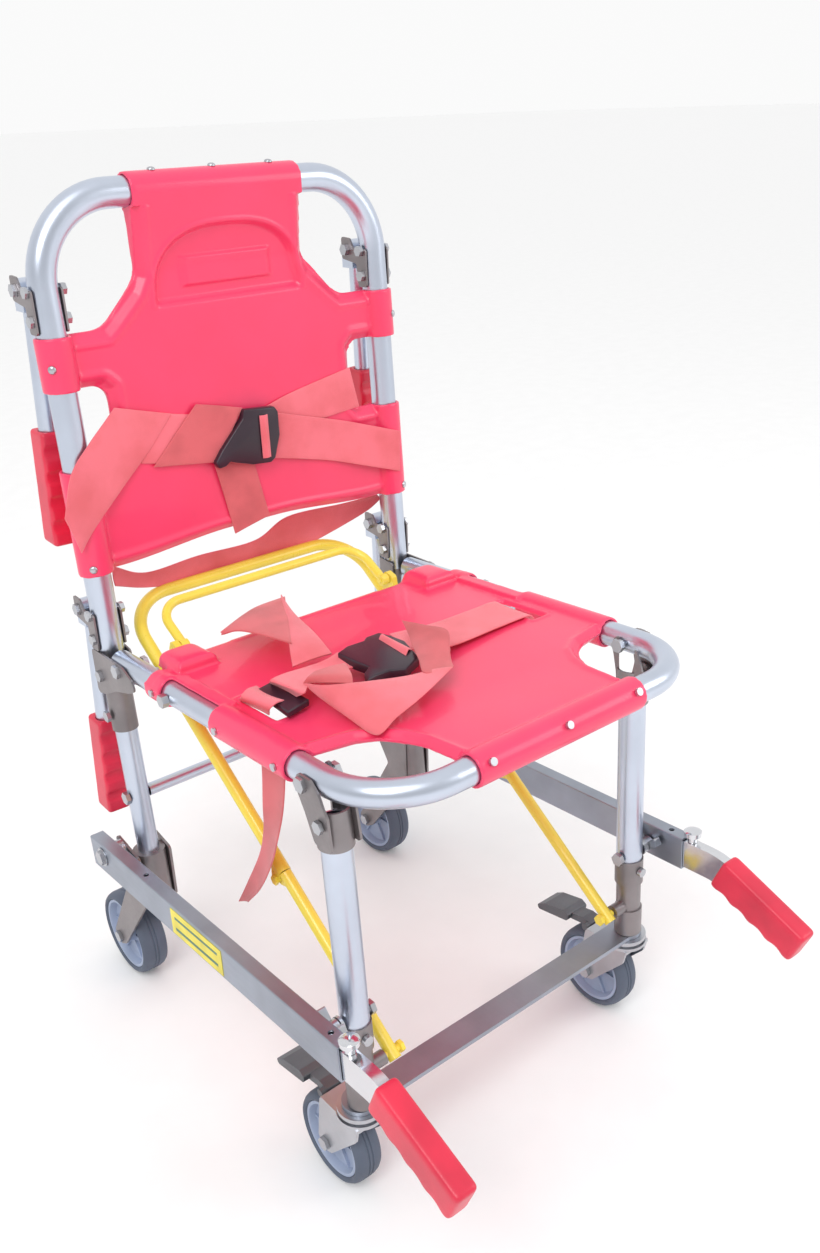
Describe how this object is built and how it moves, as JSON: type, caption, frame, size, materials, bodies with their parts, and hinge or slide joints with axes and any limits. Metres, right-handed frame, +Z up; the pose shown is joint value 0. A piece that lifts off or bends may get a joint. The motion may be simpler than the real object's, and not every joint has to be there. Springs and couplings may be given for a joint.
{
  "type": "stair chair",
  "caption": "Folding evacuation stair chair with moulded back and seat, carrying handles, side rails, diagonal brace, wheels and webbing straps.",
  "frame": {"origin": "on the floor at the middle of the whole chair's box", "axes": "+Z up, the chair faces -Y, +X is the sitter's left"},
  "size_m": [0.485, 0.7143, 0.9144],
  "materials": {
    "aluminium_tube": "satin",
    "sheet_steel": "satin",
    "zinc": "satin",
    "panel_red": "semi-gloss",
    "grip_red": "semi-gloss",
    "brace_yellow": "gloss",
    "tyre_dark": "matte",
    "hub_grey": "satin",
    "webbing_red": "woven",
    "buckle_black": "satin",
    "bright_bar": "polished"
  },
  "bodies": {
    "rear_frame": {"back_tube": "aluminium_tube", "rear_leg_left": "aluminium_tube", "rear_leg_right": "aluminium_tube", "gusset_left": "sheet_steel", "gusset_right": "sheet_steel", "rear_crossbar": "aluminium_tube", "rear_wheel_brackets": "sheet_steel", "back_panel": "panel_red", "upper_hinge_plates": "sheet_steel", "lower_hinge_plates": "sheet_steel", "frame_fasteners": "zinc", "rail_spacers": "zinc", "chest_strap": "webbing_red", "chest_buckle": "buckle_black"},
    "seat": {"seat_tube": "aluminium_tube", "seat_panel": "panel_red", "seat_fasteners": "zinc", "lap_strap": "webbing_red", "lap_buckle": "buckle_black"},
    "front_legs": {"front_leg_left": "aluminium_tube", "front_leg_right": "aluminium_tube", "front_bracket_left": "sheet_steel", "front_bracket_right": "sheet_steel", "leg_foot_left": "aluminium_tube", "leg_foot_right": "aluminium_tube", "front_crossbar": "sheet_steel", "leg_fasteners": "zinc"},
    "lever": {"lever": "brace_yellow"},
    "lower_links": {"lower_links": "brace_yellow"},
    "release_bar": {"release_bar": "brace_yellow"},
    "rear_wheel_left": {"rear_tyre_left": "tyre_dark", "rear_hub_left": "hub_grey"},
    "upper_handle_left": {"upper_handle_arm_left": "aluminium_tube", "upper_handle_grip_left": "grip_red"},
    "lower_handle_left": {"lower_handle_arm_left": "aluminium_tube", "lower_handle_grip_left": "grip_red"},
    "wing_nut_body_left": {"wing_nut_left": "buckle_black"},
    "caster_left": {"caster_fork_left": "zinc"},
    "caster_wheel_left": {"caster_tyre_left": "tyre_dark", "caster_hub_left": "hub_grey"},
    "brake_left": {"brake_pedal_left": "zinc"},
    "rail_body_left": {"rail_left": "aluminium_tube"},
    "slide_left": {"slide_bar_left": "bright_bar", "slide_grip_left": "grip_red"},
    "knob_left": {"slide_knob_left": "bright_bar"},
    "rear_wheel_right": {"rear_tyre_right": "tyre_dark", "rear_hub_right": "hub_grey"},
    "upper_handle_right": {"upper_handle_arm_right": "aluminium_tube", "upper_handle_grip_right": "grip_red"},
    "lower_handle_right": {"lower_handle_arm_right": "aluminium_tube", "lower_handle_grip_right": "grip_red"},
    "wing_nut_body_right": {"wing_nut_right": "buckle_black"},
    "caster_right": {"caster_fork_right": "zinc"},
    "caster_wheel_right": {"caster_tyre_right": "tyre_dark", "caster_hub_right": "hub_grey"},
    "brake_right": {"brake_pedal_right": "zinc"},
    "rail_body_right": {"rail_right": "aluminium_tube"},
    "slide_right": {"slide_bar_right": "bright_bar", "slide_grip_right": "grip_red"},
    "knob_right": {"slide_knob_right": "bright_bar"}
  },
  "joints": [
    {"name": "seat_fold", "type": "hinge", "parent": "rear_frame", "child": "seat", "pos_m": [0, 0.194, 0.4563], "axis": [-1, 0, 0], "range_deg": [0, 80]},
    {"name": "front_leg_fold", "type": "hinge", "parent": "seat", "child": "front_legs", "pos_m": [0, -0.136, 0.472], "axis": [-1, 0, 0], "range_deg": [-58.95, 0]},
    {"name": "lever_fold", "type": "hinge", "parent": "seat", "child": "lever", "pos_m": [0, 0.209, 0.4353], "axis": [-1, 0, 0], "range_deg": [0, 33.91]},
    {"name": "link_fold", "type": "hinge", "parent": "lever", "child": "lower_links", "pos_m": [0, 0.0098, 0.2726], "axis": [-1, 0, 0], "range_deg": [-144.54, 0]},
    {"name": "release_bar_squeeze", "type": "hinge", "parent": "lever", "child": "release_bar", "pos_m": [0, 0.189, 0.463], "axis": [-1, 0, 0], "range_deg": [0, 18], "stiffness_Nm_per_rad": 0.6, "springref_deg": -20.05},
    {"name": "rear_wheel_spin_left", "type": "hinge", "parent": "rear_frame", "child": "rear_wheel_left", "pos_m": [0.192, 0.306, 0.054], "axis": [1, 0, 0], "continuous": true},
    {"name": "upper_handle_left_fold", "type": "hinge", "parent": "rear_frame", "child": "upper_handle_left", "pos_m": [0.192, 0.28275, 0.819], "axis": [1, 0, 0], "range_deg": [0, 95]},
    {"name": "lower_handle_left_fold", "type": "hinge", "parent": "rear_frame", "child": "lower_handle_left", "pos_m": [0.192, 0.26695, 0.503], "axis": [1, 0, 0], "range_deg": [0, 95]},
    {"name": "wing_nut_turn_left", "type": "hinge", "parent": "front_legs", "child": "wing_nut_body_left", "pos_m": [0.213, -0.1558, 0.226], "axis": [1, 0, 0], "range_deg": [-90, 90]},
    {"name": "caster_swivel_left", "type": "hinge", "parent": "front_legs", "child": "caster_left", "pos_m": [0.188, -0.156, 0.114], "axis": [0, 0, 1], "continuous": true},
    {"name": "caster_wheel_spin_left", "type": "hinge", "parent": "caster_left", "child": "caster_wheel_left", "pos_m": [0.188, -0.118, 0.0495], "axis": [1, 0, 0], "continuous": true},
    {"name": "brake_press_left", "type": "hinge", "parent": "caster_left", "child": "brake_left", "pos_m": [0.188, -0.109, 0.105], "axis": [-1, 0, 0], "range_deg": [0, 15]},
    {"name": "rail_fold_left", "type": "hinge", "parent": "rear_frame", "child": "rail_body_left", "pos_m": [0.2288, 0.25, 0.213], "axis": [-1, 0, 0], "range_deg": [0, 58.07]},
    {"name": "rail_slide_left", "type": "slide", "parent": "rail_body_left", "child": "slide_left", "axis": [0, -0.9988, 0.048], "range_m": [0, 0.26]},
    {"name": "knob_lift_left", "type": "slide", "parent": "slide_left", "child": "knob_left", "axis": [0, 0.048, 0.9988], "range_m": [0, 0.005], "stiffness_N_per_m": 500, "springref_m": -0.004},
    {"name": "rear_wheel_spin_right", "type": "hinge", "parent": "rear_frame", "child": "rear_wheel_right", "pos_m": [-0.192, 0.306, 0.054], "axis": [1, 0, 0], "continuous": true},
    {"name": "upper_handle_right_fold", "type": "hinge", "parent": "rear_frame", "child": "upper_handle_right", "pos_m": [-0.192, 0.28275, 0.819], "axis": [1, 0, 0], "range_deg": [0, 95]},
    {"name": "lower_handle_right_fold", "type": "hinge", "parent": "rear_frame", "child": "lower_handle_right", "pos_m": [-0.192, 0.26695, 0.503], "axis": [1, 0, 0], "range_deg": [0, 95]},
    {"name": "wing_nut_turn_right", "type": "hinge", "parent": "front_legs", "child": "wing_nut_body_right", "pos_m": [-0.213, -0.1558, 0.226], "axis": [1, 0, 0], "range_deg": [-90, 90]},
    {"name": "caster_swivel_right", "type": "hinge", "parent": "front_legs", "child": "caster_right", "pos_m": [-0.188, -0.156, 0.114], "axis": [0, 0, 1], "continuous": true},
    {"name": "caster_wheel_spin_right", "type": "hinge", "parent": "caster_right", "child": "caster_wheel_right", "pos_m": [-0.188, -0.118, 0.0495], "axis": [1, 0, 0], "continuous": true},
    {"name": "brake_press_right", "type": "hinge", "parent": "caster_right", "child": "brake_right", "pos_m": [-0.188, -0.109, 0.105], "axis": [-1, 0, 0], "range_deg": [0, 15]},
    {"name": "rail_fold_right", "type": "hinge", "parent": "rear_frame", "child": "rail_body_right", "pos_m": [-0.2288, 0.25, 0.213], "axis": [-1, 0, 0], "range_deg": [0, 58.07]},
    {"name": "rail_slide_right", "type": "slide", "parent": "rail_body_right", "child": "slide_right", "axis": [0, -0.9988, 0.048], "range_m": [0, 0.26]},
    {"name": "knob_lift_right", "type": "slide", "parent": "slide_right", "child": "knob_right", "axis": [0, 0.048, 0.9988], "range_m": [0, 0.005], "stiffness_N_per_m": 500, "springref_m": -0.004}
  ],
  "couplings": [
    {"joint": "front_leg_fold", "follows": "seat_fold", "ratio": -0.73056},
    {"joint": "lever_fold", "follows": "seat_fold", "ratio": 0.4176},
    {"joint": "link_fold", "follows": "seat_fold", "ratio": -1.8006},
    {"joint": "rail_fold_left", "follows": "seat_fold", "ratio": 0.71964},
    {"joint": "rail_fold_right", "follows": "seat_fold", "ratio": 0.71964}
  ]
}
